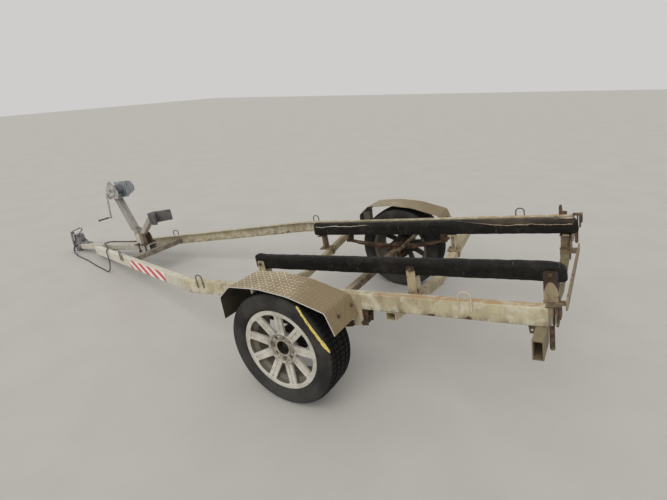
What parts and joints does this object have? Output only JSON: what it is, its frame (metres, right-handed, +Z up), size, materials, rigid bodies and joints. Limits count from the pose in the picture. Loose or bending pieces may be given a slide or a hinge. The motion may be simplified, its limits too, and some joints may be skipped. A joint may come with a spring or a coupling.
{
  "type": "boat trailer",
  "caption": "Single-axle boat trailer with carpeted bunks, tread-plate fenders, winch post with hand winch, bow stop and ball coupler resting on the ground.",
  "frame": {"origin": "on the ground under the middle of the overall length and width", "axes": "+X forwards to the coupler, +Y to the left side, +Z up; the ground is z = 0"},
  "size_m": [4.2794, 1.664, 0.7728],
  "materials": {
    "rail_paint": "worn cream paint, rust at edges",
    "galvanised": "dull grey zinc and paint",
    "dark_steel": "dark weathered paint",
    "rusty_steel": "rusted",
    "tread_plate": "dusty checker plate",
    "alloy": "satin cast alloy",
    "tyre": "dusty black rubber",
    "black_rubber": "matt black",
    "winch_zinc": "zinc plated"
  },
  "bodies": {
    "chassis": {"frame_rail_left": "rail_paint", "frame_rail_right": "rail_paint", "drawbar": "galvanised", "tongue_crossbar": "dark_steel", "cross_member_front": "rail_paint", "cross_member_middle": "rail_paint", "cross_member_rear": "rail_paint", "axle_beam": "rusty_steel", "leaf_spring_left": "rusty_steel", "leaf_spring_right": "rusty_steel", "spring_hangers": "rusty_steel", "axle_u_bolts": "rusty_steel", "fender_left": "tread_plate", "fender_right": "tread_plate", "fender_stays": "rail_paint", "bunk_left": "black_rubber", "bunk_right": "black_rubber", "bunk_brackets": "galvanised", "lashing_loops": "rail_paint", "rear_brackets": "galvanised", "rail_tab": "rusty_steel", "post_clamp": "dark_steel", "winch_post_stub": "galvanised", "winch_post": "galvanised", "bow_stop_arm": "galvanised", "bow_stop": "black_rubber", "winch_frame": "winch_zinc", "winch_gear_case": "winch_zinc", "winch_guard": "dark_steel", "coupler_body": "dark_steel", "coupler_latch": "dark_steel", "coupler_lever": "dark_steel", "axle_struts": "rusty_steel", "tow_cable": "black_rubber"},
    "wheel_left": {"tyre_left": "tyre", "rim_left": "alloy", "hub_left": "rusty_steel"},
    "wheel_right": {"tyre_right": "tyre", "rim_right": "alloy", "hub_right": "rusty_steel"},
    "winch_drum": {"winch_drum": "winch_zinc", "winch_strap": "black_rubber"},
    "winch_crank": {"winch_crank": "winch_zinc", "crank_grip": "black_rubber"}
  },
  "joints": [
    {"name": "wheel_left_spin", "type": "hinge", "parent": "chassis", "child": "wheel_left", "pos_m": [-1.00024, 0.7215, 0.2975], "axis": [0, 1, 0], "continuous": true},
    {"name": "wheel_right_spin", "type": "hinge", "parent": "chassis", "child": "wheel_right", "pos_m": [-1.00024, -0.7215, 0.2975], "axis": [0, 1, 0], "continuous": true},
    {"name": "winch_drum_spin", "type": "hinge", "parent": "chassis", "child": "winch_drum", "pos_m": [1.2737, 0, 0.68033], "axis": [0, 1, 0], "continuous": true},
    {"name": "winch_crank_spin", "type": "hinge", "parent": "chassis", "child": "winch_crank", "pos_m": [1.32833, 0, 0.64062], "axis": [0, 1, 0], "continuous": true}
  ],
  "couplings": [
    {"joint": "winch_crank_spin", "follows": "winch_drum_spin", "ratio": -4}
  ]
}
